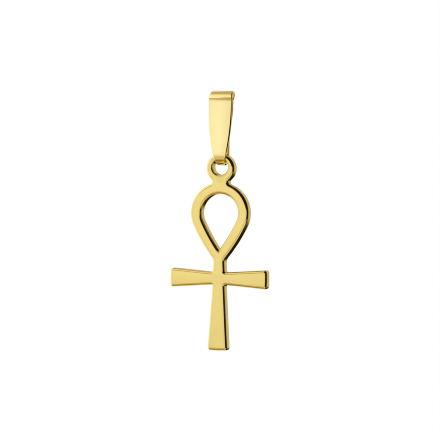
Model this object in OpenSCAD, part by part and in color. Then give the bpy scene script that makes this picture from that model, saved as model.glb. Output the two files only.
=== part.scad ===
// Ankh pendant: a flat plate ankh hanging by its eyelet from a strap bail.
// Millimetres, +Z up, front towards -Y. The origin is the chain's seat, the
// middle of the inside of the bail's top bend.

/* [Bail] */
// Height of the bail over all
bail_h = 7.46; // [6:0.02:10]
// Depth of the bail over its top bend, front to back
bail_top_d = 1.9; // [1.4:0.05:3]
// Thickness of the strap
strap_t = 0.28; // [0.2:0.02:0.4]
// Width of the strap's front at its widest
face_w = 2.43; // [1.8:0.01:3.4]
// Width of the strap at the top of the bend
apex_w = 2.32; // [1.6:0.01:3.4]
// Width of the strap behind, under the top bend
back_w = 1.66; // [1.2:0.01:2.4]
// Width of the strap where it passes through the eyelet
tail_w = 1.0; // [0.6:0.01:1.1]
// Height of the front's straight sides, from the top down
face_straight_h = 2.0; // [1.5:0.1:3]
// Height over which the back narrows to the tail's width, from the top down
back_taper_h = 4.9; // [3:0.1:6]

/* [Eyelet] */
// Outer diameter of the eyelet
eye_d = 2.9; // [2.6:0.05:4]
// Diameter of the eyelet's hole
hole_d = 1.6; // [1.4:0.01:1.8]
// Height of the hole's centre above the eyelet's
hole_lift = 0.17; // [0:0.01:0.25]
// Width of the flare at each rim of the hole
rim_w = 0.18; // [0.08:0.01:0.22]

/* [Loop] */
// How far the eyelet's and the loop's circles overlap
eye_sink = 0.02; // [0:0.01:0.2]
// Width of the loop over all
loop_w = 6.04; // [5:0.02:8]
// Width of the loop's band at its sides and top
band_w = 1.11; // [0.8:0.01:1.5]
// Angle below the widest point where the round part ends, in degrees
flank_start = 26; // [20:0.5:32]
// Radius of the outer flanks below the round part
flank_r = 16.5; // [11:0.5:30]
// Radius of the opening's flanks below its round part
open_flank_r = 19.5; // [12:0.5:30]

/* [Cross] */
// Distance from the loop's centre down to the arms' middle line
cross_drop = 6.55; // [6:0.05:8]
// Length of the arms, tip to tip
arm_span = 10.15; // [8:0.1:14]
// Height of the arms at their root, on the ankh's middle line
arm_root_h = 1.16; // [0.8:0.01:1.5]
// Height of the arms at their ends
arm_end_h = 1.93; // [1.2:0.01:2.6]
// Width of the neck where it stands on the arms
neck_w = 1.26; // [1:0.01:1.6]
// Lean of the neck's sides towards each other, in degrees
neck_lean = 3.5; // [0:0.5:8]
// Distance from the arms' middle line down to the stem's end
stem_len = 7.21; // [5:0.01:10]
// Width of the stem at its root, on the arms' middle line
stem_root_w = 1.16; // [0.9:0.01:1.8]
// Width of the stem at its end
stem_end_w = 2.08; // [1.4:0.01:3]
// How far the ends of the arms and the stem bulge
end_bow = 0.05; // [0.02:0.01:0.15]

/* [Plate] */
// Thickness of the ankh
plate_t = 1.22; // [1:0.02:1.6]
// Radius that rounds the ankh's long edges
edge_r = 0.26; // [0.1:0.01:0.3]
// How much larger the radius of the arms' and the stem's corners is than the edges'
corner_extra = 0.02; // [0.01:0.01:0.2]

/* [Fillets and clearances] */
// Fillet between the eyelet and the loop
eye_fillet = 0.32; // [0.15:0.01:0.4]
// Fillet between the loop's flanks and the neck
flank_fillet = 0.85; // [0.5:0.05:2]
// Fillet in the four corners of the cross
cross_fillet = 0.15; // [0.05:0.01:0.3]
// Gap between the ankh's faces and the inside of the bail's bottom bend
throat_gap = 0.11; // [0.08:0.01:0.4]
// Gap between the strap's corners and the eyelet's hole
seat_gap = 0.05; // [0.02:0.01:0.08]

/* [Hidden] */
GOLD = [0.93, 0.85, 0.50];

SMALL_R = 0.5;     // arcs up to this radius take the coarse step
FINE_STEP = 5;     // degrees between the points of a large arc, at most
COARSE_STEP = 15;  // the same on a small arc
MIN_STEPS = 3;     // steps of an arc, at least
SAME = 0.0001;     // points this close are one
EDGE_STEPS = 3;    // steps of each rounded edge
TAPER_STEPS = 12;  // steps of the strap's curved front sides
RIM_STEPS = 4;     // steps of the hole's flared rims
RIM_TURN = 75;     // degrees that the hole's rims turn outwards
HOLE_SIDES = 72;   // sides of the hole

// Bail, seen from the side: two round bends joined by straight tangents
top_r = bail_top_d / 2;
bend_r = plate_t / 2 + throat_gap + strap_t;
bail_top_z = strap_t;
bail_end_z = bail_top_z - bail_h;
top_c = bail_top_z - top_r;
bend_c = bail_end_z + bend_r;

// Radius of the arcs that narrow the front from its straight sides to the tail
taper_h = bail_h - strap_t - face_straight_h;
taper_w = (face_w - tail_w) / 2;
taper_r = (taper_h * taper_h + taper_w * taper_w) / (2 * taper_w);

// Height of the hole's centre, at which the strap's inner corners clear the hole,
// and of the eyelet's, from which the ankh's own heights are taken
hole_r = hole_d / 2;
bend_in = bend_r - strap_t;
function bend_rise(y) = bend_in - sqrt(bend_in * bend_in - y * y);
function hole_reach(r) = sqrt(pow(r - seat_gap, 2) - pow(tail_w / 2, 2));
seat_drop = min(
    hole_reach(hole_r) - bend_rise(plate_t / 2 - rim_w),
    hole_reach(hole_r + rim_w) - bend_rise(plate_t / 2));
hole_z = bail_end_z + strap_t - seat_drop;
eye_z = hole_z - hole_lift;

// The ankh's own places, as heights from the eyelet's centre
eye_r = eye_d / 2;
loop_r = loop_w / 2;
loop_z = eye_sink - eye_r - loop_r;
cross_z = loop_z - cross_drop;
stem_z = cross_z - stem_len;

// An outline is a row of arcs [centre, radius, from, to] with straight edges
// between them. The angles are those of the outward normal, from and to, and the
// radius is negative on an inward fillet.
function dir(a) = [cos(a), sin(a)];
function arc_point(arc, a, d = 0) = arc[0] + (arc[1] - d) * dir(a);
function arc_steps(arc) =
    let (step = abs(arc[1]) > SMALL_R ? FINE_STEP : COARSE_STEP)
    max(MIN_STEPS, ceil(abs(arc[3] - arc[2]) / step));

// Points of an arc in n steps, moved inwards by d
function arc_points(arc, n, d = 0) =
    [for (i = [0:n]) arc_point(arc, arc[2] + (arc[3] - arc[2]) * i / n, d)];

// Points of a row of arcs, moved inwards by d. An arc that starts where the last
// one ended leaves out its first point.
function runs_on(arcs, k) =
    k > 0 && norm(arc_point(arcs[k], arcs[k][2]) - arc_point(arcs[k - 1], arcs[k - 1][3])) < SAME;
function outline(arcs, d = 0) =
    [for (k = [0:len(arcs) - 1])
        let (points = arc_points(arcs[k], arc_steps(arcs[k]), d))
        for (i = [runs_on(arcs, k) ? 1 : 0:len(points) - 1]) points[i]];

// Which point of an outline is the last of arc k
function last_of(arcs, k) = len(outline([for (i = [0:k]) arcs[i]])) - 1;

// The right half of an outline, from the bottom up, with its mirror image
function both_sides(half) =
    concat(half, [for (i = [len(half) - 2:-1:1]) [-half[i][0], half[i][1]]]);
function reverse(list) = [for (i = [len(list) - 1:-1:0]) list[i]];

// A straight edge from p to q: its outward normal's angle and its distance
function edge(p, q) =
    let (n = [q[1] - p[1], p[0] - q[0]]) [atan2(n[1], n[0]), p * n / norm(n)];

// Centre of an arc of radius r that touches two straight edges
function touch_edges(e, f, r) =
    let (m = e[1] - r, n = f[1] - r)
    [m * sin(f[0]) - n * sin(e[0]), n * cos(e[0]) - m * cos(f[0])] / sin(f[0] - e[0]);

// Centre of an arc of radius r that touches a straight edge and, ahead or
// behind along that edge, a circle
function touch_circle(e, circle_c, circle_r, r, ahead) =
    let (h = e[1] - r - circle_c * dir(e[0]), s = ahead ? 1 : -1)
    circle_c + h * dir(e[0]) + s * sqrt(pow(circle_r - r, 2) - h * h) * dir(e[0] + 90);

// Centre of an arc of radius r that touches two circles on the middle line
function touch_circles(z0, r0, z1, r1, r) =
    let (m = r0 - r, n = r1 - r, d = z0 - z1, t = (d * d + m * m - n * n) / (2 * d))
    [sqrt(m * m - t * t), z0 - t];

function angle_to(p, q) = atan2(q[1] - p[1], q[0] - p[0]);
function bow_r(w) = (w * w / 4 + end_bow * end_bow) / (2 * end_bow);

// Radius of the corners, never less than the edges' rounding takes off them
corner_r = edge_r + corner_extra;

// Straight edges on the ankh's right side
stem_edge = edge([stem_end_w / 2, stem_z], [stem_root_w / 2, cross_z]);
arm_low_edge = edge([0, cross_z - arm_root_h / 2], [arm_span / 2, cross_z - arm_end_h / 2]);
arm_top_edge = edge([arm_span / 2, cross_z + arm_end_h / 2], [0, cross_z + arm_root_h / 2]);
neck_foot = [neck_w / 2, cross_z + arm_root_h / 2];
neck_edge = [neck_lean, neck_foot * dir(neck_lean)];

// Centres of the arcs on the ankh's right side, from the stem's end up
stem_bow_c = [0, stem_z + bow_r(stem_end_w)];
arm_bow_c = [arm_span / 2 - bow_r(arm_end_h), cross_z];
stem_corner_c = touch_circle(stem_edge, stem_bow_c, bow_r(stem_end_w), corner_r, false);
low_fillet_c = touch_edges(stem_edge, arm_low_edge, -cross_fillet);
low_corner_c = touch_circle(arm_low_edge, arm_bow_c, bow_r(arm_end_h), corner_r, true);
top_corner_c = touch_circle(arm_top_edge, arm_bow_c, bow_r(arm_end_h), corner_r, false);
top_fillet_c = touch_edges(arm_top_edge, neck_edge, -cross_fillet);
flank_c = [0, loop_z] - (flank_r - loop_r) * dir(-flank_start);
flank_fillet_c = touch_circle(neck_edge, flank_c, flank_r, -flank_fillet, false);
eye_fillet_c = touch_circles(0, eye_r, loop_z, loop_r, -eye_fillet);

// Angles at which arcs meet
stem_bow_end = angle_to(stem_bow_c, stem_corner_c);
arm_bow_end = angle_to(arm_bow_c, top_corner_c);
flank_end = angle_to(flank_c, flank_fillet_c);
loop_end = angle_to([0, loop_z], eye_fillet_c);
eye_start = angle_to([0, 0], eye_fillet_c);

ankh_arcs = [
    [stem_bow_c, bow_r(stem_end_w), -90, stem_bow_end],
    [stem_corner_c, corner_r, stem_bow_end, stem_edge[0]],
    [low_fillet_c, -cross_fillet, stem_edge[0], arm_low_edge[0]],
    [low_corner_c, corner_r, arm_low_edge[0], -arm_bow_end],
    [arm_bow_c, bow_r(arm_end_h), -arm_bow_end, arm_bow_end],
    [top_corner_c, corner_r, arm_bow_end, arm_top_edge[0]],
    [top_fillet_c, -cross_fillet, arm_top_edge[0], neck_edge[0]],
    [flank_fillet_c, -flank_fillet, neck_edge[0], flank_end],
    [flank_c, flank_r, flank_end, -flank_start],
    [[0, loop_z], loop_r, -flank_start, loop_end],
    [eye_fillet_c, -eye_fillet, loop_end, eye_start],
    [[0, 0], eye_r, eye_start, 90]];
TOP_FILLET = 6;
FLANK_FILLET = 7;
FLANK = 8;
LOOP = 9;

// The right side of the loop's opening from its pointed tip up, widened by d. Its
// points pair with those of the flank and the loop outside, and run on to the top.
function opening_half(d) =
    let (
        c = [0, loop_z] - (open_flank_r - loop_r + band_w) * dir(-flank_start),
        flank = [c, open_flank_r, -acos(-c[0] / (open_flank_r + d)), -flank_start],
        side = [[0, loop_z], loop_r - band_w, -flank_start, loop_end],
        top = [[0, loop_z], loop_r - band_w, loop_end, 90])
    concat(
        arc_points(flank, arc_steps(ankh_arcs[FLANK]), -d),
        [for (a = [side, top])
            let (points = arc_points(a, arc_steps(a), -d))
            for (i = [1:len(points) - 1]) points[i]]);

// Layers through the plate from front to back: how far in, and how deep
edge_turns = [for (i = [0:EDGE_STEPS]) 90 * i / EDGE_STEPS];
front_layers = [for (a = edge_turns)
    [edge_r * (1 - sin(a)), edge_r * (1 - cos(a)) - plate_t / 2]];
plate_layers = concat(front_layers, [for (l = reverse(front_layers)) [l[0], -l[1]]]);

function at_depth(points, y) = [for (p = points) [p[0], y, p[1]]];

// Walls between the layers of one outline of n points, the first of them numbered first
function walls(n, first) =
    [for (k = [0:len(plate_layers) - 2], i = [0:n - 1])
        let (a = first + k * n, j = (i + 1) % n) [a + j, a + n + j, a + n + i, a + i]];

// One side's half of a face, as fans and quads, from the numbers of its points:
// those up the outer edge, those up the opening, the crossing and the neck's middle
function half_face(outer, open, crossing, neck) =
    let (
        neck_top = last_of(ankh_arcs, TOP_FILLET) + 1,
        flank = last_of(ankh_arcs, FLANK_FILLET),
        band = last_of(ankh_arcs, LOOP) - flank)
    concat(
        [concat([crossing], [for (i = [0:neck_top]) outer[i]])],
        [concat([open[0], crossing], [for (i = [neck_top:flank]) outer[i]])],
        [for (i = [0:band - 1]) [open[i], outer[flank + i], outer[flank + i + 1], open[i + 1]]],
        [concat([neck], [for (i = [len(open) - 1:-1:band]) open[i]],
            [for (i = [flank + band:len(outer) - 1]) outer[i]])]);

// The plate with its loop open and its edges round, the eyelet still closed
module ankh_plate() {
    outer = [for (l = plate_layers) each at_depth(both_sides(outline(ankh_arcs, l[0])), l[1])];
    open = [for (l = plate_layers) each at_depth(both_sides(opening_half(l[0])), l[1])];
    middle = [for (y = [-plate_t / 2, plate_t / 2])
        each [[0, y, cross_z], [0, y, eye_fillet_c[1] - eye_fillet / 2]]];
    layers = len(plate_layers);
    n = len(outer) / layers;
    m = len(open) / layers;

    function face(layer, right) =
        let (
            a = layer * n,
            b = len(outer) + layer * m,
            c = len(outer) + len(open) + (layer > 0 ? 2 : 0))
        half_face(
            [for (i = [0:n / 2]) a + (right ? i : (n - i) % n)],
            [for (i = [0:m / 2]) b + (right ? i : (m - i) % m)],
            c, c + 1);
    // The same faces the other way round, each fan from its own first point
    function turned(faces) = [for (f = faces) [for (i = [0:len(f) - 1]) f[(len(f) - i) % len(f)]]];

    polyhedron(
        concat(outer, open, middle),
        concat(
            walls(n, 0),
            turned(walls(m, len(outer))),
            turned(face(0, true)),
            face(0, false),
            face(layers - 1, true),
            turned(face(layers - 1, false))));
}

// The eyelet's hole along Y, with rims that turn out to both faces
module eyelet_hole() {
    rim_r = rim_w / (1 - cos(RIM_TURN));
    rim_c = [hole_r + rim_r, plate_t / 2 - rim_r * sin(RIM_TURN)];
    rim = arc_points([rim_c, -rim_r, 0, RIM_TURN], RIM_STEPS);
    past = [hole_r + 2 * rim_w, plate_t / 2 + rim_w];
    front = concat([for (p = rim) [p[0], 2 * rim_c[1] - p[1]]], [past]);
    back = [for (p = reverse(front)) [p[0], -p[1]]];
    translate([0, 0, hole_lift]) rotate([90, 0, 0]) rotate_extrude($fn = HOLE_SIDES)
        polygon(concat([[0, -past[1]]], back, front, [[0, past[1]]]));
}

module ankh() {
    color(GOLD) translate([0, 0, eye_z]) difference() {
        ankh_plate();
        eyelet_hole();
    }
}

// Bail's side outline, inset by d: over the top bend to the back, then round the bottom
module side_outline(d) {
    tilt = asin((bend_r - top_r) / (top_c - bend_c));
    polygon(outline([
        [[0, top_c], top_r, 180 - tilt, tilt],
        [[0, bend_c], bend_r, tilt, -180 - tilt]], d));
}

// The strap's right edge from the top down, on the front and on the back
front_edge = concat(
    [[apex_w / 2, bail_top_z], [face_w / 2, bail_top_z - top_r]],
    [for (i = [0:TAPER_STEPS]) let (t = taper_h * i / TAPER_STEPS)
        [face_w / 2 - taper_r + sqrt(taper_r * taper_r - t * t), bail_top_z - face_straight_h - t]],
    [[tail_w / 2, bail_end_z]]);
back_edge = [
    [apex_w / 2, bail_top_z],
    [back_w / 2, bail_top_z - top_r],
    [back_w / 2, bail_top_z - face_straight_h],
    [tail_w / 2, bail_top_z - back_taper_h],
    [tail_w / 2, bail_end_z]];

// All within the strap's two edges, in front of the middle plane or behind it
module strap_half(side, behind) {
    mirrored = [for (p = reverse(side)) [-p[0], p[1]]];
    depth = bend_r + bail_top_d;
    translate([0, behind ? depth : 0, 0]) rotate([90, 0, 0])
        linear_extrude(height = depth) polygon(concat(side, mirrored));
}

module bail() {
    color(GOLD) intersection() {
        rotate([90, 0, 90]) linear_extrude(height = 2 * face_w, center = true)
            difference() {
                side_outline(0);
                side_outline(strap_t);
            }
        union() {
            strap_half(front_edge, false);
            strap_half(back_edge, true);
        }
    }
}

bail();
ankh();
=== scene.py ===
"""Ankh pendant: a polished gold plate ankh that hangs by its eyelet from a strap bail.

Lengths are typed in metres, as the scene's are. Each piece is modelled in millimetres,
so that its smallest edges stay well above rounding, and is brought to metres at the end.
"""
import math
from types import SimpleNamespace

import bmesh
import bpy
from bpy.props import FloatProperty, FloatVectorProperty, PointerProperty
from mathutils import Matrix, Vector


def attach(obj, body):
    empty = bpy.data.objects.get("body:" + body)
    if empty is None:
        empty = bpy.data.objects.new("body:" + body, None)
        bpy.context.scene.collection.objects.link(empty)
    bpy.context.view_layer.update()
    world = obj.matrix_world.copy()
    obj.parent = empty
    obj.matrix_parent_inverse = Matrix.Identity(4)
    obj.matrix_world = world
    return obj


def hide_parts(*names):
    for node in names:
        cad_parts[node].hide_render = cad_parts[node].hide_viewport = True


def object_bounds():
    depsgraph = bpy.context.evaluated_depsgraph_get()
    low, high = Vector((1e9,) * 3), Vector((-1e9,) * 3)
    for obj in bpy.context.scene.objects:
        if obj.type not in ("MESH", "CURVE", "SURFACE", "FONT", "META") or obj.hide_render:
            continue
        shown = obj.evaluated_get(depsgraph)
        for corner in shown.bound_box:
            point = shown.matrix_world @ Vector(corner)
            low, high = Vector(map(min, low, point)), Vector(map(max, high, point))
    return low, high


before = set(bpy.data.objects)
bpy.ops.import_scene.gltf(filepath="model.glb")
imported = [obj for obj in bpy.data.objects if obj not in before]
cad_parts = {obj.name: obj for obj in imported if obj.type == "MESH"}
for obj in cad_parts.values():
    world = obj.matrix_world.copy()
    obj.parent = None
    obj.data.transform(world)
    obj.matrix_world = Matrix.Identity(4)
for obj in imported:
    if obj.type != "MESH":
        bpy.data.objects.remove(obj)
cad_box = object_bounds()

bl_info = {
    "name": "Ankh Pendant",
    "version": (1, 0, 0),
    "blender": (4, 5, 0),
    "location": "View3D > Sidebar > Pendant",
    "description": "Models a gold ankh pendant with its bail, and lights it",
    "category": "Add Mesh",
}

MM = 0.001
ORIGIN = (0.0, 0.0, 0.0)

# Modelling, in millimetres and degrees
PLANE_SIZE = 1.0     # side of the plane that a piece starts from
SAME_MM = 0.0002     # points this close are the same point
CLOSE_MM = 0.002     # how close the strap's last section comes to its first
FEWEST_STEPS = 4     # steps of the shortest arc
LONGEST_STEP = 0.25  # longest straight of an arc
SMALL_ARC = 0.5      # radius up to which an arc counts as small
SMALL_ARC_TURN = 10  # turn of one step of a small arc
WIDE_ARC_TURN = 3    # turn of one step of a wide arc
HOLE_SIDES = 96      # sides of the eyelet's hole
EDGE_RINGS = 9       # rings of the plate's rounded edges
EDGE_TURN = 86       # turn of the rounding, which leaves the rest to the swell
RIM_RINGS = 7        # rings of the hole's rims
RIM_DEPTH = 0.24     # how deep the hole's rims reach
CORNER_MERGE = 0.05  # points this close become one where the rounding closes a corner
PILLOW_RISE = 0.003  # how far the face still swells past the rounding
TOP_STEPS = 14       # steps of each half of the bail's top bend
BEND_STEPS = 26      # steps of the bail's bottom bend
STRAIGHT_STEPS = 18  # steps of the strap's straight runs
EASE_STEPS = 6       # steps of the slow curves at the ends of the bail's front
ROUNDING_STEPS = 6   # steps of the roundings of the strap's long edges
SMOOTH_BELOW = 35    # edges that turn less than this are smooth
# The swell's rings: width and rise
PILLOW = ((0.018, 0.0018), (0.016, 0.0009), (0.012, 0.0003))

# The polish: the scales of its noises, the turns in degrees and the stretches that make lines
# of them, and the ranges of their values that count
BUMP_DISTANCE = 0.00001    # metres that a bump's full height stands for
FINER_WAVES = 3.1          # how much finer the second waves are
FINER_SHARE = 0.12         # their height beside the first waves'
SCRATCH_SCALE = 2600.0
SCRATCH_TURN = 24
SCRATCH_STRETCH = (9.0, 9.0, 0.6)
SCRATCH_SHARE = 0.35       # height of the fine scratches beside the hairs'
HAIR_SCALE = 1900.0
HAIR_TURN = -63
HAIR_STRETCH = (9.0, 9.0, 0.5)
HAIR_RANGE = (0.68, 0.74)
HAIR_ROUGHNESS = 0.05      # how much rougher a hair is
SMUDGE_SCALE = 520.0
SMUDGE_RANGE = (0.38, 0.66)
TINT_SCALE = 190.0
TINT_RANGE = (0.35, 0.7)
WARM_TINT = (0.985, 0.965, 0.93)

# The stage
FLOOR_SIZE = 3.0
FLOOR_DROP = 0.55          # how far the floor lies below the pendant
FLOOR_COLOUR = (0.92, 0.92, 0.91, 1.0)
FLOOR_ROUGHNESS = 0.9
SENSOR = 36.0
PIXEL_FILTER = 1.1         # how many pixels wide a sample spreads
# The picture's centre: this far across and below the eyelet's centre, as the camera sees it
AIM_POINT = (0.0, 0.0, -0.00748651)
AIM_ACROSS = -0.00018
AIM_BELOW = 0.00515
TENT_R = 0.5               # radius of the light tent, which stands clear of the floor
TENT_SEGMENTS = 48
TENT_RINGS = 24
TENT_LIGHT = (0.52, 0.44, 0.24)
# The tent's soft cards and flags, each over those before it. Degrees from the pendant: azimuth
# (0 in front, 90 at +X) and elevation of the middle, half the width and height, and the soft
# edge's width; then the light's colour
TENT_CARDS = (
    ("left_light", -88, 5, 68, 46, 14, (1.19, 1.20, 1.24)),
    ("table", -20, -56, 46, 26, 30, (0.32, 0.20, 0.04)),
    ("front_low", -8, -24, 34, 22, 24, (0.70, 0.60, 0.36)),
    ("front_card", -14, 0, 40, 11, 12, (0.96, 0.96, 0.95)),
    ("front_glow", -20, 0, 5, 4, 8, (1.10, 1.10, 1.12)),
    ("low_back", -152, -46, 20, 34, 12, (0.95, 0.85, 0.55)),
    ("under", -60, -92, 120, 20, 12, (0.85, 0.68, 0.30)),
    ("gap", -16, 19, 28, 7, 8, (0.56, 0.48, 0.27)),
    ("top_high", -26, 74, 60, 16, 14, (0.78, 0.68, 0.45)),
    ("top_light", -26, 51, 34, 13, 14, (1.05, 1.0, 0.95)),
    ("left_back", -162, 10, 20, 30, 10, (0.5, 0.45, 0.3)),
    ("high_flag", 72, 46, 78, 42, 5, (0.02, 0.012, 0.0)),
    ("right_flag", 88, -6, 62, 16, 5, (0.02, 0.012, 0.0)),
    ("low_flag", 131, -36, 65, 24, 7, (0.02, 0.012, 0.0)),
    ("right_back", 168, 14, 16, 21, 6, (0.68, 0.62, 0.50)),
    ("low_right", 40, -36, 22, 21, 8, (0.95, 0.90, 0.80)),
    ("back_fill", 138, -6, 14, 20, 10, (0.45, 0.37, 0.18)),
)


def length(name, default, description):
    """A length that a user may change, in metres."""
    return FloatProperty(
        name=name, description=description, default=default, subtype="DISTANCE", precision=5)


def colour(name, default, description):
    """A colour that a user may change."""
    return FloatVectorProperty(
        name=name, description=description, default=default, size=3, subtype="COLOR", min=0.0, max=1.0)


def share(name, default, description):
    """A part from 0 to 1 that a user may change."""
    return FloatProperty(
        name=name, description=description, default=default, min=0.0, max=1.0, subtype="FACTOR")


def angle(name, degrees, description):
    """An angle that a user may change, typed in degrees."""
    return FloatProperty(
        name=name, description=description, default=math.radians(degrees), subtype="ANGLE")


# Sizes and finishes


class BailSizes(bpy.types.PropertyGroup):
    height: length("Height", 0.00746, "Height of the bail over all")
    top_depth: length("Top depth", 0.0019, "Depth over the top bend, front to back")
    bend_r: length("Bottom bend", 0.001, "Outer radius of the bend that holds the eyelet")
    strap: length("Strap", 0.00028, "Thickness of the strap")
    face_w: length("Face width", 0.00243, "Width of the front at its widest")
    apex_w: length("Apex width", 0.00232, "Width at the top of the bend")
    back_w: length("Back width", 0.00166, "Width behind, under the top bend")
    tail_w: length("Tail width", 0.001, "Width where the strap passes through the eyelet")
    face_straight: length("Straight sides", 0.002, "Height of the front's straight sides")
    back_taper: length("Back taper", 0.0049, "Height over which the back narrows")
    face_edge_r: length("Outer edges", 0.0002, "Rounding of the strap's outer long edges")
    inner_edge_r: length("Inner edges", 0.00005, "Rounding of the strap's inner long edges")
    top_share: share("Top share", 0.12, "Part of the roundings that is left on the top bend")
    share_h: length("Share height", 0.0017, "Height over which the roundings grow again below it")
    low_share: share("Low share", 0.25, "Part of the roundings that is left at the bottom bend's start")
    low_share_h: length("Low share height", 0.00094, "Height above that where they start to shrink")
    top_ease: length("Top ease", 0.00035, "Length over which the front turns into the top bend")
    low_ease: length("Low ease", 0.0006, "Length over which the front turns into the bottom bend")
    top_turn: angle("Top turn", 6, "Turn of the front over the top ease")
    low_turn: angle("Low turn", 4, "Turn of the front over the low ease")
    front_lean: angle("Front lean", 0.6, "Lean of the flat front, back towards its top")


class AnkhSizes(bpy.types.PropertyGroup):
    eye_z: length("Eyelet height", -0.00748651, "Height of the eyelet's centre")
    eye_d: length("Eyelet", 0.0029, "Outer diameter of the eyelet")
    hole_d: length("Hole", 0.0016, "Diameter of the eyelet's hole")
    hole_lift: length("Hole lift", 0.00017, "Height of the hole's centre above the eyelet's")
    rim_w: length("Rim", 0.00018, "Width of the flare at each rim of the hole")
    eye_sink: length("Overlap", 0.00002, "How far the eyelet's and the loop's circles overlap")
    loop_w: length("Loop width", 0.00604, "Width of the loop over all")
    band_w: length("Band", 0.00111, "Width of the loop's band")
    flank_r: length("Outer flank", 0.0165, "Radius of the outer flanks below the round part")
    open_flank_r: length("Inner flank", 0.0195, "Radius of the opening's flanks")
    cross_drop: length("Cross drop", 0.00655, "From the loop's centre down to the arms' middle")
    arm_span: length("Arm span", 0.01015, "Length of the arms, tip to tip")
    arm_root_h: length("Arm root", 0.00116, "Height of the arms at their root")
    arm_end_h: length("Arm end", 0.00193, "Height of the arms at their ends")
    neck_w: length("Neck", 0.00126, "Width of the neck where it stands on the arms")
    stem_len: length("Stem", 0.00721, "From the arms' middle down to the stem's end")
    stem_root_w: length("Stem root", 0.00116, "Width of the stem at its root")
    stem_end_w: length("Stem end", 0.00208, "Width of the stem at its end")
    end_bow: length("End bow", 0.00005, "How far the ends of the arms and the stem bulge")
    plate_t: length("Plate", 0.00122, "Thickness of the plate")
    edge_r: length("Edge", 0.00026, "Radius that rounds the long edges")
    corner_r: length("Corner", 0.00028, "Radius of the corners at the arms' and the stem's ends")
    eye_fillet: length("Eyelet fillet", 0.00032, "Fillet between the eyelet and the loop")
    flank_fillet: length("Flank fillet", 0.00085, "Fillet between the flanks and the neck")
    cross_fillet: length("Cross fillet", 0.00015, "Fillet in the corners of the cross")
    flank_start: angle("Flank start", 26, "Angle below the widest point where the round part ends")
    neck_lean: angle("Neck lean", 3.5, "Lean of the neck's sides towards each other")


class Finish(bpy.types.PropertyGroup):
    # The bail's colour is paler than the ankh's for its own alloy, and also brighter: painted extra light
    # that stands in for the stronger light on the bail
    bail_gold: colour("Bail gold", (0.96, 0.81, 0.38), "Colour of the bail's polished sheet")
    ankh_gold: colour("Ankh gold", (0.805, 0.648, 0.224), "Colour of the ankh's polished plate")


class Stage(bpy.types.PropertyGroup):
    azimuth: angle("Azimuth", 18, "How far the camera stands towards the pendant's own left side")
    elevation: angle("Elevation", 1.5, "How far the camera stands above the pendant's level")
    roll: angle("Roll", 1.0, "How far the pendant leans to the right in the picture")
    lens: FloatProperty(name="Lens", description="Focal length in millimetres", default=300.0, min=50.0)
    frame_w: length("Frame", 0.044, "Width of what the picture takes in")
    paper: share("Paper", 1.0, "Brightness of the white all round")


def in_mm(sizes):
    """A copy of a group's sizes with its lengths in millimetres and its angles in degrees."""
    made = SimpleNamespace()
    for name, prop in sizes.bl_rna.properties.items():
        if prop.type == "FLOAT":
            value = getattr(sizes, name)
            if prop.unit == "ROTATION":
                value = math.degrees(value)
            elif prop.unit == "LENGTH":
                value /= MM
            setattr(made, name, value)
    return made


# Outlines, in millimetres


def direction(degrees):
    """The unit vector at an angle, counted from +X."""
    a = math.radians(degrees)
    return Vector((math.cos(a), math.sin(a)))


def bearing(p, q):
    """The angle in degrees from one point to another."""
    return math.degrees(math.atan2(q[1] - p[1], q[0] - p[0]))


class Arc:
    """An arc of an outline: its centre, its radius, and its outward normal's first and last angle.

    The radius is negative on an inward fillet.
    """

    def __init__(self, centre, radius, start, end):
        self.centre, self.radius, self.start, self.end = Vector(centre), radius, start, end

    def point(self, angle):
        return self.centre + self.radius * direction(angle)

    def steps(self):
        turn, radius = abs(self.end - self.start), abs(self.radius)
        one = WIDE_ARC_TURN if radius > SMALL_ARC else SMALL_ARC_TURN
        run = radius * math.radians(turn)
        return max(FEWEST_STEPS, math.ceil(turn / one), math.ceil(run / LONGEST_STEP))


class Edge:
    """A straight edge from p to q: its outward normal's angle and its distance from the origin."""

    def __init__(self, p, q):
        n = Vector((q[1] - p[1], p[0] - q[0]))
        self.angle = math.degrees(math.atan2(n.y, n.x))
        self.reach = Vector(p).dot(n) / n.length

    def fillet_to(self, other, r):
        """Centre of an arc of radius r that touches both edges."""
        m, n = self.reach - r, other.reach - r
        a, b = math.radians(self.angle), math.radians(other.angle)
        centre = Vector((m * math.sin(b) - n * math.sin(a), n * math.cos(a) - m * math.cos(b)))
        return centre / math.sin(b - a)

    def round_to(self, centre, radius, r, ahead):
        """Centre of an arc of radius r that touches the edge and a circle, ahead or behind."""
        n = direction(self.angle)
        h = self.reach - r - Vector(centre).dot(n)
        along = math.sqrt((radius - r) ** 2 - h * h) * (1 if ahead else -1)
        return Vector(centre) + h * n + along * direction(self.angle + 90)


def bow(width, rise):
    """The radius of an arc of this width that rises this far in its middle."""
    return (width * width / 4 + rise * rise) / (2 * rise)


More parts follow.
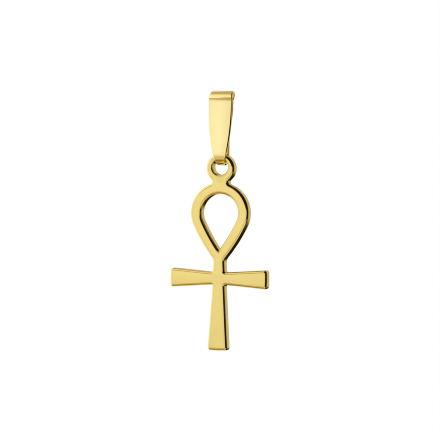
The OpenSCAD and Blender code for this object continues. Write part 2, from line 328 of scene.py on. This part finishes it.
def ankh_outline(s):
    """The right side of the ankh's outline from the stem's end up, and of its opening's."""
    eye_r, loop_r = s.eye_d / 2, s.loop_w / 2
    loop_z = s.eye_sink - eye_r - loop_r
    cross_z = loop_z - s.cross_drop
    stem_z = cross_z - s.stem_len
    loop_c = Vector((0, loop_z))
    stem = Edge((s.stem_end_w / 2, stem_z), (s.stem_root_w / 2, cross_z))
    arm_low = Edge((0, cross_z - s.arm_root_h / 2), (s.arm_span / 2, cross_z - s.arm_end_h / 2))
    arm_top = Edge((s.arm_span / 2, cross_z + s.arm_end_h / 2), (0, cross_z + s.arm_root_h / 2))
    foot = Vector((s.neck_w / 2, cross_z + s.arm_root_h / 2))
    neck = Edge(foot, foot + direction(s.neck_lean + 90))
    stem_bow, arm_bow = bow(s.stem_end_w, s.end_bow), bow(s.arm_end_h, s.end_bow)
    stem_bow_c = Vector((0, stem_z + stem_bow))
    arm_bow_c = Vector((s.arm_span / 2 - arm_bow, cross_z))
    stem_corner_c = stem.round_to(stem_bow_c, stem_bow, s.corner_r, False)
    low_fillet_c = stem.fillet_to(arm_low, -s.cross_fillet)
    low_corner_c = arm_low.round_to(arm_bow_c, arm_bow, s.corner_r, True)
    top_corner_c = arm_top.round_to(arm_bow_c, arm_bow, s.corner_r, False)
    top_fillet_c = arm_top.fillet_to(neck, -s.cross_fillet)
    flank_c = loop_c - (s.flank_r - loop_r) * direction(-s.flank_start)
    flank_fillet_c = neck.round_to(flank_c, s.flank_r, -s.flank_fillet, False)
    m, n, apart = eye_r + s.eye_fillet, loop_r + s.eye_fillet, -loop_z
    down = (apart * apart + m * m - n * n) / (2 * apart)
    eye_fillet_c = Vector((math.sqrt(m * m - down * down), -down))
    stem_bow_end = bearing(stem_bow_c, stem_corner_c)
    arm_bow_end = bearing(arm_bow_c, top_corner_c)
    flank_end = bearing(flank_c, flank_fillet_c)
    loop_end = bearing(loop_c, eye_fillet_c)
    eye_start = bearing((0, 0), eye_fillet_c)
    outside = [
        Arc(stem_bow_c, stem_bow, -90, stem_bow_end),
        Arc(stem_corner_c, s.corner_r, stem_bow_end, stem.angle),
        Arc(low_fillet_c, -s.cross_fillet, stem.angle, arm_low.angle),
        Arc(low_corner_c, s.corner_r, arm_low.angle, -arm_bow_end),
        Arc(arm_bow_c, arm_bow, -arm_bow_end, arm_bow_end),
        Arc(top_corner_c, s.corner_r, arm_bow_end, arm_top.angle),
        Arc(top_fillet_c, -s.cross_fillet, arm_top.angle, neck.angle),
        Arc(flank_fillet_c, -s.flank_fillet, neck.angle, flank_end),
        Arc(flank_c, s.flank_r, flank_end, -s.flank_start),
        Arc(loop_c, loop_r, -s.flank_start, loop_end),
        Arc(eye_fillet_c, -s.eye_fillet, loop_end, eye_start),
        Arc((0, 0), eye_r, eye_start, 90),
    ]
    inner_r = loop_r - s.band_w
    open_c = loop_c - (s.open_flank_r - inner_r) * direction(-s.flank_start)
    tip = -math.degrees(math.acos(-open_c.x / s.open_flank_r))
    opening = [Arc(open_c, s.open_flank_r, tip, -s.flank_start), Arc(loop_c, inner_r, -s.flank_start, 90)]
    return outside, opening


# Modelling by hand


def deselect_objects():
    for piece in bpy.context.selected_objects:
        piece.select_set(False)


def begin(name):
    """A new piece, open in edit mode with its starting plane selected."""
    deselect_objects()
    bpy.ops.mesh.primitive_plane_add(size=PLANE_SIZE, location=ORIGIN)
    piece = bpy.context.active_object
    piece.name = piece.data.name = name
    bpy.ops.object.mode_set(mode="EDIT")
    bpy.ops.mesh.select_mode(type="VERT")
    bpy.ops.mesh.select_all(action="SELECT")
    return piece


def select(piece, test, kind="VERT"):
    """Selects only the vertices or faces whose centre passes the test."""
    bpy.ops.mesh.select_mode(type=kind)
    bpy.ops.mesh.select_all(action="DESELECT")
    bm = bmesh.from_edit_mesh(piece.data)
    for part in bm.faces if kind == "FACE" else bm.verts:
        place = part.calc_center_median() if kind == "FACE" else part.co
        if test(place):
            part.select_set(True)
    bm.select_flush_mode()
    bmesh.update_edit_mesh(piece.data)


def move(x=0.0, y=0.0, z=0.0):
    bpy.ops.transform.translate(value=(x, y, z))


def draw(arcs):
    """Draws a row of arcs with straight edges between them, from the selected point at its start."""
    here = arcs[0].point(arcs[0].start)
    for arc in arcs:
        there = arc.point(arc.start)
        step = there - here
        if step.length > SAME_MM:
            bpy.ops.mesh.extrude_vertices_move(
                TRANSFORM_OT_translate={"value": (step.x, 0.0, step.y)})
        bpy.ops.mesh.spin(
            steps=arc.steps(), angle=math.radians(arc.end - arc.start), use_auto_merge=False,
            center=(arc.centre.x, 0.0, arc.centre.y), axis=(0.0, 1.0, 0.0))
        here = arc.point(arc.end)


def pen_at(p):
    """Shrinks the selected starting plane to one point at p."""
    bpy.ops.mesh.merge(type="CENTER")
    move(x=p.x, z=p.y)


def finish_in_metres(piece):
    """Brings the piece, out of edit mode, to metres and smooths all but its sharp edges."""
    piece.scale = (MM, MM, MM)
    bpy.ops.object.transform_apply(location=True, rotation=True, scale=True)
    bpy.ops.object.shade_smooth_by_angle(angle=math.radians(SMOOTH_BELOW))


def step_in(thickness, back, even=True):
    """One ring of a rounded edge: the selected cap is inset, then moved along Y."""
    bpy.ops.mesh.inset(
        thickness=thickness, depth=0.0, use_boundary=True, use_even_offset=even, use_relative_offset=False)
    move(y=back)


def round_over(width, depth, turn, steps):
    """Rings of a quarter round from the wall to the face, through its first turn degrees."""
    a = [math.radians(turn * i / steps) for i in range(steps + 1)]
    for low, high in zip(a, a[1:]):
        step_in(width * (math.cos(low) - math.cos(high)), -depth * (math.sin(high) - math.sin(low)))


def round_into(width, depth, steps):
    """Rings of a quarter round from the face into a hole."""
    a = [math.radians(90 * i / steps) for i in range(steps + 1)]
    for low, high in zip(a, a[1:]):
        step_in(width * (math.sin(high) - math.sin(low)), depth * (math.cos(low) - math.cos(high)))


def model_ankh(s):
    """The plate's front half is drawn, filled, pulled forward and rounded, then mirrored to the back."""
    outside, opening = ankh_outline(s)
    rim_r = s.hole_d / 2 + s.rim_w
    half_t = s.plate_t / 2
    piece = begin("ankh_plate")

    # The right side of both outlines, and its mirror image
    pen_at(outside[0].point(outside[0].start))
    draw(outside)
    bpy.ops.mesh.select_all(action="DESELECT")
    bpy.ops.mesh.primitive_plane_add(size=PLANE_SIZE, location=ORIGIN)
    pen_at(opening[0].point(opening[0].start))
    draw(opening)
    bpy.ops.mesh.select_all(action="SELECT")
    bpy.ops.mesh.duplicate()
    bpy.ops.transform.resize(value=(-1, 1, 1), center_override=ORIGIN)
    bpy.ops.mesh.select_all(action="SELECT")
    bpy.ops.mesh.remove_doubles(threshold=SAME_MM)

    # The hole's rim as a circle, the face filled round it, and a lid on the hole for now
    bpy.ops.mesh.select_all(action="DESELECT")
    bpy.ops.mesh.primitive_circle_add(
        vertices=HOLE_SIDES, radius=rim_r, location=(0, 0, s.hole_lift), rotation=(math.pi / 2, 0, 0))
    bpy.ops.mesh.select_all(action="SELECT")
    bpy.ops.mesh.fill(use_beauty=True)

    def in_hole(p, r=rim_r):
        return math.hypot(p.x, p.z - s.hole_lift) < r + SAME_MM

    select(piece, in_hole)
    bpy.ops.mesh.edge_face_add()
    bpy.ops.mesh.select_all(action="SELECT")
    bpy.ops.mesh.normals_make_consistent(inside=False)
    if bmesh.from_edit_mesh(piece.data).faces[:][0].normal.y > 0:
        bpy.ops.mesh.flip_normals()

    # Forward to where the rounding starts, then ring by ring over the edge and a little pillow past it
    bpy.ops.mesh.extrude_region_move(TRANSFORM_OT_translate={"value": (0, s.edge_r - half_t, 0)})
    select(piece, lambda p: abs(p.y) < SAME_MM, "FACE")
    bpy.ops.mesh.delete(type="FACE")
    select(piece, lambda p: p.y < s.edge_r - half_t + SAME_MM, "FACE")
    round_over(s.edge_r, s.edge_r - PILLOW_RISE, EDGE_TURN, EDGE_RINGS)
    bpy.ops.mesh.remove_doubles(threshold=CORNER_MERGE)
    for width, rise in PILLOW:
        step_in(width, -rise, even=False)

    # The rim turns into the hole, which then runs through to the middle
    front = min(v.co.y for v in bmesh.from_edit_mesh(piece.data).verts)
    select(piece, lambda p: p.y < front + SAME_MM and in_hole(p, SAME_MM), "FACE")
    round_into(s.rim_w, RIM_DEPTH, RIM_RINGS)
    bpy.ops.mesh.extrude_region_move(TRANSFORM_OT_translate={"value": (0, -front - RIM_DEPTH, 0)})
    bpy.ops.mesh.delete(type="FACE")

    # The back is the front's mirror image
    bpy.ops.object.mode_set(mode="OBJECT")
    mirror = piece.modifiers.new("Back", "MIRROR")
    mirror.use_axis = (False, True, False)
    mirror.merge_threshold = SAME_MM
    bpy.ops.object.modifier_apply(modifier=mirror.name)
    bpy.ops.object.mode_set(mode="EDIT")
    bpy.ops.mesh.select_all(action="SELECT")
    bpy.ops.mesh.normals_make_consistent(inside=False)
    move(z=s.eye_z)
    bpy.ops.object.mode_set(mode="OBJECT")
    finish_in_metres(piece)
    return piece


def between(z, table):
    """The value at height z, from a table of heights and values, highest first."""
    for (z0, value0), (z1, value1) in zip(table, table[1:]):
        if z >= z1:
            return value0 + (value1 - value0) * max(0.0, z0 - z) / (z0 - z1)
    return table[-1][1]


def model_bail(s):
    """The strap's section is swept from the top over the back, round the bottom and up the front."""
    top_r, bend_r = s.top_depth / 2, s.bend_r
    top_z, end_z = s.strap, s.strap - s.height
    top_c, bend_c = top_z - top_r, end_z + bend_r
    mid = s.strap / 2
    tilt = math.degrees(math.asin((bend_r - top_r) / (top_c - bend_c)))
    taper_h = s.height - s.strap - s.face_straight
    taper_w = (s.face_w - s.tail_w) / 2
    taper_r = (taper_h * taper_h + taper_w * taper_w) / (2 * taper_w)

    def half_width(y, z):
        """Half width of the strap at a place on its front (y below 0) or its back."""
        if z > top_c:
            side = s.face_w if y < 0 else s.back_w
            return between(z, ((top_z - mid, s.apex_w / 2), (top_c, side / 2)))
        if y >= 0:
            return between(z, (
                (top_c, s.back_w / 2), (top_z - s.face_straight, s.back_w / 2),
                (top_z - s.back_taper, s.tail_w / 2), (end_z, s.tail_w / 2)))
        down = top_z - s.face_straight - z
        if down <= 0:
            return s.face_w / 2
        if down >= taper_h:
            return s.tail_w / 2
        return s.face_w / 2 - taper_r + math.sqrt(taper_r * taper_r - down * down)

    piece = begin("bail_strap")
    here = [0.0, top_z - mid]
    wide = [PLANE_SIZE / 2]

    def fit_width():
        """Brings the selected section to the strap's width at its place."""
        w = half_width(*here)
        bpy.ops.transform.resize(value=(w / wide[0], 1, 1), center_override=ORIGIN)
        wide[0] = w

    def bend(r, start, end, steps):
        """Carries the section along an arc, from one heading to another: 0 is up, 90 to the back."""
        a, turn = math.radians(start), math.radians((end - start) / steps)
        cy, cz = here[0] + r * math.cos(a), here[1] - r * math.sin(a)
        for _ in range(steps):
            bpy.ops.mesh.spin(
                steps=1, angle=turn, use_auto_merge=False, center=(0, cy, cz), axis=(1, 0, 0))
            y, z = here[0] - cy, here[1] - cz
            here[:] = (
                cy + y * math.cos(turn) + z * math.sin(turn), cz + z * math.cos(turn) - y * math.sin(turn))
            fit_width()

    def straight(dy, dz, steps):
        """Carries the section along a straight run."""
        dy, dz = dy / steps, dz / steps
        for _ in range(steps):
            bpy.ops.mesh.extrude_region_move(TRANSFORM_OT_translate={"value": (0, dy, dz)})
            here[:] = (here[0] + dy, here[1] + dz)
            fit_width()

    bpy.ops.transform.rotate(value=math.pi / 2, orient_axis="X", center_override=ORIGIN)
    bpy.ops.transform.resize(value=(1, 1, s.strap), center_override=ORIGIN)
    move(z=here[1])
    fit_width()
    lean = math.radians(tilt)
    run = top_c - bend_c
    bend(top_r - mid, 90, 180 - tilt, TOP_STEPS)
    straight(run * math.cos(lean) * math.sin(lean), -run * math.cos(lean) ** 2, STRAIGHT_STEPS)

    # The front's headings where its slow curves start and end. The flat run between them and
    # the last bend's radius follow, as the strap has to close at the top
    heads = (s.front_lean - s.low_turn, s.front_lean, s.front_lean + s.top_turn)
    low, flat, high = (Vector((math.cos(math.radians(h)), math.sin(math.radians(h)))) for h in heads)
    low_r, high_r = s.low_ease / math.radians(s.low_turn), s.top_ease / math.radians(s.top_turn)
    bend(bend_r - mid, 180 - tilt, 360 + heads[0], BEND_STEPS)
    bend(low_r, heads[0], heads[1], EASE_STEPS)
    left_y = -here[0] - high_r * (flat.x - high.x)
    left_z = top_z - mid - here[1] - high_r * (high.y - flat.y)
    last_r = (left_y - left_z * flat.y / flat.x) / (high.x - (1 - high.y) * flat.y / flat.x)
    flat_run = (left_z - last_r * (1 - high.y)) / flat.x
    straight(flat_run * flat.y, flat_run * flat.x, STRAIGHT_STEPS)
    bend(high_r, heads[1], heads[2], EASE_STEPS)
    bend(last_r, heads[2], 90, TOP_STEPS)

    # The last section closes on the first
    select(piece, lambda p: abs(p.y) < SAME_MM and p.z > top_c, "FACE")
    bpy.ops.mesh.delete(type="ONLY_FACE")
    bpy.ops.mesh.select_all(action="SELECT")
    bpy.ops.mesh.remove_doubles(threshold=CLOSE_MM)
    bpy.ops.mesh.normals_make_consistent(inside=False)

    def outside(p):
        """Whether a place lies on the strap's outer side."""
        if p.z > top_c:
            return math.hypot(p.y, p.z - top_c) > top_r - mid
        if p.z < bend_c:
            return math.hypot(p.y, p.z - bend_c) > bend_r - mid
        return abs(p.y) > top_r - mid + (bend_r - top_r) * (top_c - p.z) / run

    # The long edges are rounded least on the top bend and where the bottom bend starts
    shares = (
        (top_z, 1.0), (top_c + top_r / 3, s.top_share), (top_c, s.top_share), (top_c - s.share_h, 1.0),
        (bend_c + s.low_share_h, 1.0), (bend_c + s.low_share_h / 2, s.low_share), (bend_c, s.low_share),
        (bend_c - bend_r / 4, 1.0), (end_z, 1.0))
    shape = bmesh.from_edit_mesh(piece.data)
    weight = shape.edges.layers.float.new("bevel_weight_edge")
    for edge in shape.edges:
        ends = [v.co for v in edge.verts]
        middle = (ends[0] + ends[1]) / 2
        if ends[0].x * ends[1].x > 0 and outside(ends[0]) == outside(ends[1]):
            part = 1.0 if outside(ends[0]) else s.inner_edge_r / s.face_edge_r
            edge[weight] = part * between(middle.z, shares)
    bmesh.update_edit_mesh(piece.data)
    bpy.ops.object.mode_set(mode="OBJECT")
    edges = piece.modifiers.new("Edges", "BEVEL")
    edges.width = s.face_edge_r
    edges.segments = ROUNDING_STEPS
    edges.limit_method = "WEIGHT"
    edges.use_clamp_overlap = False
    bpy.ops.object.modifier_apply(modifier=edges.name)
    finish_in_metres(piece)
    return piece


# Materials


class Nodes:
    """Adds nodes to a tree and links them."""

    def __init__(self, tree):
        self.tree = tree

    def add(self, kind, **settings):
        node = self.tree.nodes.new(kind)
        for name, value in settings.items():
            setattr(node, name, value)
        return node

    def link(self, source, target):
        self.tree.links.new(source, target)

    def feed(self, socket, value):
        """Links an input to another node's output, or sets it to a plain value."""
        if isinstance(value, bpy.types.NodeSocket):
            self.link(value, socket)
        else:
            socket.default_value = value

    def put(self, node, **inputs):
        """Feeds a node's inputs, named with _ for a space."""
        for name, value in inputs.items():
            self.feed(node.inputs[name.replace("_", " ")], value)
        return node

    def math(self, operation, a, b=0.0):
        node = self.add("ShaderNodeMath", operation=operation)
        for socket, value in zip(node.inputs, (a, b)):
            self.feed(socket, value)
        return node.outputs[0]

    def noise(self, vector, scale, detail=2.0, roughness=0.5):
        node = self.add("ShaderNodeTexNoise")
        self.put(node, Vector=vector, Scale=scale, Detail=detail, Roughness=roughness)
        return node.outputs["Fac"]

    def spread(self, value, low, high, to_low=0.0, to_high=1.0, **settings):
        """A value's part from low to high, brought to another range."""
        node = self.add("ShaderNodeMapRange", **settings)
        self.put(node, Value=value, From_Min=low, From_Max=high, To_Min=to_low, To_Max=to_high)
        return node.outputs["Result"]


def polish_group():
    """Hand polish: slow waves of the surface, smudges, and fine scratches along the polishing."""
    group = bpy.data.node_groups.new("hand_polish", "ShaderNodeTree")
    sockets = (
        ("Vector", "NodeSocketVector", None),
        ("Gold", "NodeSocketColor", None), ("Warm Gold", "NodeSocketColor", None),
        ("Wave Scale", "NodeSocketFloat", 300.0), ("Wave Height", "NodeSocketFloat", 1.0),
        ("Scratch Height", "NodeSocketFloat", 0.02), ("Clear Roughness", "NodeSocketFloat", 0.06),
        ("Smudged Roughness", "NodeSocketFloat", 0.12))
    for name, kind, value in sockets:
        made = group.interface.new_socket(name=name, in_out="INPUT", socket_type=kind)
        if value is not None:
            made.default_value = value
    outputs = (("Color", "NodeSocketColor"), ("Roughness", "NodeSocketFloat"), ("Height", "NodeSocketFloat"))
    for name, kind in outputs:
        group.interface.new_socket(name=name, in_out="OUTPUT", socket_type=kind)
    n = Nodes(group)
    given, result = n.add("NodeGroupInput").outputs, n.add("NodeGroupOutput")
    vector = given["Vector"]

    waves = n.noise(vector, given["Wave Scale"], detail=1.0)
    finer = n.noise(vector, n.math("MULTIPLY", given["Wave Scale"], FINER_WAVES), detail=1.0)
    swell = n.math("ADD", waves, n.math("MULTIPLY", finer, FINER_SHARE))

    lined = n.add("ShaderNodeMapping")
    n.put(lined, Vector=vector, Rotation=(0.0, math.radians(SCRATCH_TURN), 0.0), Scale=SCRATCH_STRETCH)
    lines = n.noise(lined.outputs[0], SCRATCH_SCALE, detail=3.0, roughness=0.65)
    crossed = n.add("ShaderNodeMapping")
    n.put(crossed, Vector=vector, Rotation=(0.0, math.radians(HAIR_TURN), 0.0), Scale=HAIR_STRETCH)
    hairs = n.spread(n.noise(crossed.outputs[0], HAIR_SCALE, detail=2.0, roughness=0.7), *HAIR_RANGE)
    scratches = n.math("SUBTRACT", n.math("MULTIPLY", lines, SCRATCH_SHARE), hairs)

    smudge = n.spread(n.noise(vector, SMUDGE_SCALE, detail=4.0, roughness=0.62), *SMUDGE_RANGE)
    rough = n.spread(smudge, 0.0, 1.0, given["Clear Roughness"], given["Smudged Roughness"])
    rough = n.math("ADD", rough, n.math("MULTIPLY", hairs, HAIR_ROUGHNESS))

    tint = n.spread(n.noise(vector, TINT_SCALE, detail=3.0), *TINT_RANGE)
    gold = n.add("ShaderNodeMix", data_type="RGBA")
    n.link(tint, gold.inputs[0])
    n.link(given["Gold"], gold.inputs[6])
    n.link(given["Warm Gold"], gold.inputs[7])

    n.link(gold.outputs[2], result.inputs["Color"])
    n.link(rough, result.inputs["Roughness"])
    waved = n.math("MULTIPLY", swell, given["Wave Height"])
    scratched = n.math("MULTIPLY", scratches, given["Scratch Height"])
    n.link(n.math("ADD", waved, scratched), result.inputs["Height"])
    return group


def gold_material(name, gold, group, turn, wave_scale, wave_height, scratch_height, clear, smudged):
    """Polished gold: its own colour, waves and smudges, from the shared polish."""
    material = bpy.data.materials.new(name)
    material.use_nodes = True
    n = Nodes(material.node_tree)
    n.tree.nodes.clear()
    coordinates = n.add("ShaderNodeTexCoord")
    turned = n.put(n.add("ShaderNodeMapping"), Vector=coordinates.outputs["Object"], Rotation=turn)
    polish = n.add("ShaderNodeGroup", node_tree=group)
    warm = [part * tint for part, tint in zip(gold, WARM_TINT)]
    n.put(
        polish, Vector=turned.outputs[0], Gold=(*gold, 1.0), Warm_Gold=(*warm, 1.0),
        Wave_Scale=wave_scale, Wave_Height=wave_height, Scratch_Height=scratch_height,
        Clear_Roughness=clear, Smudged_Roughness=smudged)
    bump = n.add("ShaderNodeBump")
    n.put(bump, Height=polish.outputs["Height"], Strength=1.0, Distance=BUMP_DISTANCE)
    shader = n.add("ShaderNodeBsdfPrincipled")
    n.put(
        shader, Base_Color=polish.outputs["Color"], Roughness=polish.outputs["Roughness"],
        Normal=bump.outputs["Normal"], Metallic=1.0)
    n.link(shader.outputs[0], n.add("ShaderNodeOutputMaterial").inputs["Surface"])
    return material


def wear(piece, body, node, material):
    """Gives a finished piece its material and the body it rides on, and hides the CAD solid it stands for.
    """
    piece.data.materials.clear()
    piece.data.materials.append(material)
    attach(piece, body)
    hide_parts(node)


def shared_polish():
    return bpy.data.node_groups.get("hand_polish") or polish_group()


# Floor, paper, light tent and camera


def towards(azimuth, elevation):
    """The direction from the pendant to a place round it, in degrees; azimuth 0 is in front, 90 at +X."""
    a, e = math.radians(azimuth), math.radians(elevation)
    return Vector((math.sin(a) * math.cos(e), -math.cos(a) * math.cos(e), math.sin(e)))


def tent_material():
    """Light that depends on the direction from the tent's middle alone: cards with soft edges."""
    material = bpy.data.materials.new("light_tent")
    material.use_nodes = True
    n = Nodes(material.node_tree)
    n.tree.nodes.clear()
    coordinates = n.add("ShaderNodeTexCoord")
    way = n.add("ShaderNodeVectorMath", operation="NORMALIZE")
    n.put(way, Vector=coordinates.outputs["Object"])
    x, y, z = n.put(n.add("ShaderNodeSeparateXYZ"), Vector=way.outputs[0]).outputs
    azimuth = n.math("DEGREES", n.math("ARCTAN2", x, n.math("MULTIPLY", y, -1.0)))
    elevation = n.math("DEGREES", n.math("ARCSINE", z))

    def within(away, half, soft):
        """1 up to half a card's size away from its middle, with a soft edge down to 0."""
        return n.spread(
            n.math("ABSOLUTE", away), half - soft / 2, half + soft / 2, 1.0, 0.0,
            interpolation_type="SMOOTHSTEP")

    light = n.add("ShaderNodeRGB").outputs[0]
    light.default_value = (*TENT_LIGHT, 1.0)
    for name, middle, height, half_w, half_h, soft, tint in TENT_CARDS:
        turn = n.add("ShaderNodeMath", operation="WRAP")
        n.link(n.math("SUBTRACT", azimuth, middle), turn.inputs[0])
        turn.inputs[1].default_value = 180.0
        turn.inputs[2].default_value = -180.0
        across = within(turn.outputs[0], half_w, soft)
        up = within(n.math("SUBTRACT", elevation, height), half_h, soft)
        over = n.add("ShaderNodeMix", data_type="RGBA", name=name, label=name)
        n.link(n.math("MULTIPLY", across, up), over.inputs[0])
        n.link(light, over.inputs[6])
        over.inputs[7].default_value = (*tint, 1.0)
        light = over.outputs[2]
    glow = n.put(n.add("ShaderNodeEmission"), Color=light, Strength=1.0)
    n.link(glow.outputs[0], n.add("ShaderNodeOutputMaterial").inputs["Surface"])
    material.cycles.emission_sampling = "NONE"
    return material


def pitch_tent(centre):
    """The light tent, which shows in the gold alone."""
    deselect_objects()
    bpy.ops.mesh.primitive_uv_sphere_add(
        segments=TENT_SEGMENTS, ring_count=TENT_RINGS, radius=TENT_R, location=centre)
    tent = bpy.context.active_object
    tent.name = "light_tent"
    tent.visible_camera = False
    tent.visible_diffuse = False
    tent.visible_shadow = False
    tent.data.materials.append(tent_material())


def set_stage(s):
    """White paper all round, a pale floor, the light tent, and the camera where the photo's stood."""
    scene = bpy.context.scene
    lo, hi = cad_box
    centre = (lo + hi) / 2

    world = bpy.data.worlds.new("white_paper")
    world.use_nodes = True
    scene.world = world
    background = world.node_tree.nodes["Background"]
    background.inputs["Color"].default_value = (1, 1, 1, 1)
    background.inputs["Strength"].default_value = s.paper

    deselect_objects()
    bpy.ops.mesh.primitive_plane_add(size=FLOOR_SIZE, location=(0, 0, lo.z - FLOOR_DROP))
    floor = bpy.context.active_object
    floor.name = "floor"
    paint = bpy.data.materials.new("floor")
    paint.use_nodes = True
    shader = paint.node_tree.nodes["Principled BSDF"]
    shader.inputs["Base Color"].default_value = FLOOR_COLOUR
    shader.inputs["Roughness"].default_value = FLOOR_ROUGHNESS
    floor.data.materials.append(paint)

    pitch_tent(centre)

    camera_data = bpy.data.cameras.new("camera")
    camera_data.type = "PERSP"
    camera_data.lens = s.lens
    camera_data.sensor_width = SENSOR
    camera = bpy.data.objects.new("camera", camera_data)
    scene.collection.objects.link(camera)
    ahead = -towards(math.degrees(s.azimuth), math.degrees(s.elevation))
    right = ahead.cross(Vector((0, 0, 1))).normalized()
    up = right.cross(ahead)
    across = right * math.cos(s.roll) + up * math.sin(s.roll)
    above = up * math.cos(s.roll) - right * math.sin(s.roll)
    aim = Vector(AIM_POINT) + across * AIM_ACROSS - above * AIM_BELOW
    place = aim - ahead * (s.frame_w * s.lens / SENSOR)
    turned = Matrix((across, above, -ahead)).transposed().to_4x4()
    camera.matrix_world = Matrix.Translation(place) @ turned
    scene.camera = camera
    scene.view_settings.view_transform = "Standard"
    scene.cycles.filter_width = PIXEL_FILTER


# Operators and panel


class PENDANT_OT_bail(bpy.types.Operator):
    """Model the bail's closed strap and give it its polished gold"""

    bl_idname = "pendant.bail"
    bl_label = "Bail strap"

    def execute(self, context):
        piece = model_bail(in_mm(context.scene.pendant_bail))
        # The bail's colour holds painted extra light on top of its paler alloy
        gold = gold_material(
            "bail_gold", context.scene.pendant_finish.bail_gold, shared_polish(), turn=(0.0, 0.0, 0.0),
            wave_scale=260.0, wave_height=2.4, scratch_height=0.003, clear=0.05, smudged=0.09)
        wear(piece, "bail", "bail", gold)
        return {"FINISHED"}


class PENDANT_OT_ankh(bpy.types.Operator):
    """Model the ankh's rounded plate and give it its polished gold"""

    bl_idname = "pendant.ankh"
    bl_label = "Ankh plate"

    def execute(self, context):
        piece = model_ankh(in_mm(context.scene.pendant_ankh))
        gold = gold_material(
            "ankh_gold", context.scene.pendant_finish.ankh_gold, shared_polish(), turn=(0.0, 0.7, 0.0),
            wave_scale=300.0, wave_height=3.4, scratch_height=0.003, clear=0.03, smudged=0.06)
        wear(piece, "ankh", "ankh", gold)
        return {"FINISHED"}


class PENDANT_OT_stage(bpy.types.Operator):
    """Set up the pale floor, the white paper all round, the light tent and the camera"""

    bl_idname = "pendant.stage"
    bl_label = "Stage"

    def execute(self, context):
        set_stage(context.scene.pendant_stage)
        return {"FINISHED"}


class PENDANT_PT_maker(bpy.types.Panel):
    """Sizes, finishes and the steps that make the pendant"""

    bl_label = "Pendant"
    bl_idname = "PENDANT_PT_maker"
    bl_space_type = "VIEW_3D"
    bl_region_type = "UI"
    bl_category = "Pendant"

    def draw(self, context):
        scene = context.scene
        for group, operator in (
                (scene.pendant_bail, "pendant.bail"), (scene.pendant_ankh, "pendant.ankh"),
                (scene.pendant_finish, None), (scene.pendant_stage, "pendant.stage")):
            box = self.layout.box()
            for name in group.bl_rna.properties.keys():
                if name not in ("rna_type", "name"):
                    box.prop(group, name)
            if operator:
                box.operator(operator)


GROUPS = {
    "pendant_bail": BailSizes,
    "pendant_ankh": AnkhSizes,
    "pendant_finish": Finish,
    "pendant_stage": Stage,
}
CLASSES = (*GROUPS.values(), PENDANT_OT_bail, PENDANT_OT_ankh, PENDANT_OT_stage, PENDANT_PT_maker)


def register():
    for made in CLASSES:
        bpy.utils.register_class(made)
    for name, group in GROUPS.items():
        setattr(bpy.types.Scene, name, PointerProperty(type=group))


def unregister():
    for name in GROUPS:
        delattr(bpy.types.Scene, name)
    for made in reversed(CLASSES):
        bpy.utils.unregister_class(made)


def main():
    register()
    bpy.ops.pendant.bail()
    bpy.ops.pendant.ankh()
    bpy.ops.pendant.stage()


if __name__ == "__main__":
    main()
